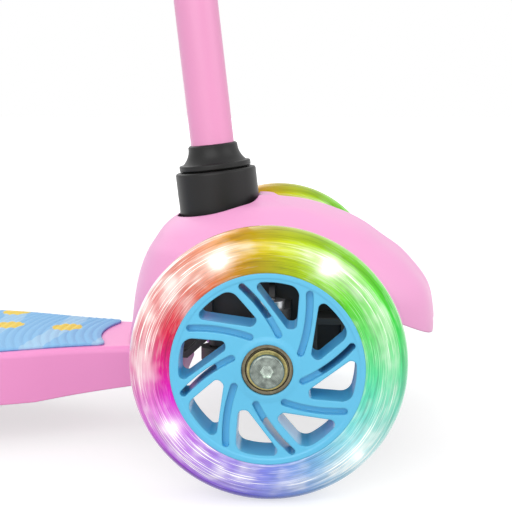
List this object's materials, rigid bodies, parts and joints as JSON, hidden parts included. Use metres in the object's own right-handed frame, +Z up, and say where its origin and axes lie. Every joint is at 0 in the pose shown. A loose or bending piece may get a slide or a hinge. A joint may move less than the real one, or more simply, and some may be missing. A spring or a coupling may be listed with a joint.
{
  "type": "kick scooter",
  "caption": "Child's lean-to-steer kick scooter with paired clear light-up front wheels, a domed steering hood, a low matted deck, a foot brake and a height-adjustable T-bar.",
  "frame": {"origin": "on the floor under the middle of the scooter's outer box", "axes": "+X forward, +Y to the rider's left, +Z up"},
  "size_m": [0.5685, 0.26, 0.6371],
  "materials": {
    "pink_plastic": "moulded, satin gloss",
    "pink_paint": "powder coat, smooth",
    "black_plastic": "moulded, fine grain",
    "white_nylon": "moulded",
    "sky_plastic": "moulded, satin gloss",
    "clear_tyre": "clear cast polyurethane",
    "light_lens": "milky, lit from inside",
    "mat_rubber": "soft, ridged",
    "grip_rubber": "soft, ribbed",
    "bearing_steel": "ground steel",
    "yellow_zinc": "yellow zinc plate",
    "steel": "zinc plated",
    "chrome_tube": "bright chrome"
  },
  "bodies": {
    "chassis": {"deck": "pink_plastic", "grip_mat": "mat_rubber", "front_hood": "pink_plastic", "front_subframe": "black_plastic", "hood_screws": "steel", "subframe_bolts": "steel", "lean_pivot_pin": "steel", "kingpins": "steel", "kingpin_nuts": "steel", "left_centering_spring": "steel", "right_centering_spring": "steel", "brake_hinge_pin": "steel", "brake_spring": "steel", "rear_axle_bolt": "steel", "rear_axle_nut": "steel", "rear_axle_spacers": "yellow_zinc"},
    "brake": {"brake_fender": "pink_plastic", "brake_wear_plate": "steel", "brake_rivets": "steel"},
    "column": {"steering_head": "black_plastic", "slot_shield": "black_plastic", "lean_lever": "black_plastic", "lean_bushes": "white_nylon", "stem_cone": "black_plastic", "lower_tube": "pink_paint", "stem_lock_screw": "steel", "tube_sleeve": "white_nylon", "clamp_body": "black_plastic", "clamp_bolt": "steel", "clamp_nut": "steel"},
    "clamp_handle": {"clamp_lever": "black_plastic"},
    "t_bar": {"upper_tube": "chrome_tube", "tube_foot": "black_plastic", "bar_tee": "black_plastic", "tee_screws": "steel", "handlebar": "chrome_tube", "left_grip": "grip_rubber", "right_grip": "grip_rubber"},
    "steering_link": {"tie_rod": "black_plastic"},
    "left_upright": {"left_knuckle": "black_plastic", "left_axle_bolt": "steel", "left_axle_nut": "steel", "left_axle_spacers": "yellow_zinc"},
    "right_upright": {"right_knuckle": "black_plastic", "right_axle_bolt": "steel", "right_axle_nut": "steel", "right_axle_spacers": "yellow_zinc"},
    "left_wheel": {"left_wheel_tyre": "clear_tyre", "left_wheel_core": "sky_plastic", "left_wheel_bearings": "bearing_steel", "left_wheel_led_modules": "light_lens"},
    "right_wheel": {"right_wheel_tyre": "clear_tyre", "right_wheel_core": "sky_plastic", "right_wheel_bearings": "bearing_steel", "right_wheel_led_modules": "light_lens"},
    "rear_wheel": {"rear_wheel_tyre": "clear_tyre", "rear_wheel_core": "sky_plastic", "rear_wheel_bearings": "bearing_steel", "rear_wheel_led_modules": "light_lens"}
  },
  "joints": [
    {"name": "lean", "type": "hinge", "parent": "chassis", "child": "column", "pos_m": [0.1765, 0, 0.08], "axis": [1, 0, 0], "range_deg": [-10, 10], "stiffness_Nm_per_rad": 25, "deforming": ["left_centering_spring", "right_centering_spring"]},
    {"name": "tie_slide", "type": "slide", "parent": "chassis", "child": "steering_link", "axis": [0, 1, 0], "range_m": [-0.0045, 0.0045]},
    {"name": "left_steer", "type": "hinge", "parent": "chassis", "child": "left_upright", "pos_m": [0.201, 0.066, 0.06], "axis": [0, 0, 1], "range_deg": [-10.5, 10.5]},
    {"name": "right_steer", "type": "hinge", "parent": "chassis", "child": "right_upright", "pos_m": [0.201, -0.066, 0.06], "axis": [0, 0, 1], "range_deg": [-10.5, 10.5]},
    {"name": "left_spin", "type": "hinge", "parent": "left_upright", "child": "left_wheel", "pos_m": [0.201, 0.105, 0.06], "axis": [0, 1, 0], "continuous": true},
    {"name": "right_spin", "type": "hinge", "parent": "right_upright", "child": "right_wheel", "pos_m": [0.201, -0.105, 0.06], "axis": [0, 1, 0], "continuous": true},
    {"name": "rear_spin", "type": "hinge", "parent": "chassis", "child": "rear_wheel", "pos_m": [-0.239, 0, 0.04], "axis": [0, 1, 0], "continuous": true},
    {"name": "brake_press", "type": "hinge", "parent": "chassis", "child": "brake", "pos_m": [-0.193, 0, 0.06], "axis": [0, -1, 0], "range_deg": [0, 5], "stiffness_Nm_per_rad": 1, "springref_deg": -8.59},
    {"name": "height_slide", "type": "slide", "parent": "column", "child": "t_bar", "axis": [-0.1116, 0, 0.9937], "range_m": [0, 0.12]},
    {"name": "lever_open", "type": "hinge", "parent": "column", "child": "clamp_handle", "pos_m": [0.1208, -0.0145, 0.38771], "axis": [0.1116, 0, -0.9937], "range_deg": [0, 100]}
  ],
  "couplings": [
    {"joint": "tie_slide", "follows": "lean", "m_per_rad": 0.0245},
    {"joint": "left_steer", "follows": "lean", "ratio": -1},
    {"joint": "right_steer", "follows": "lean", "ratio": -1}
  ]
}
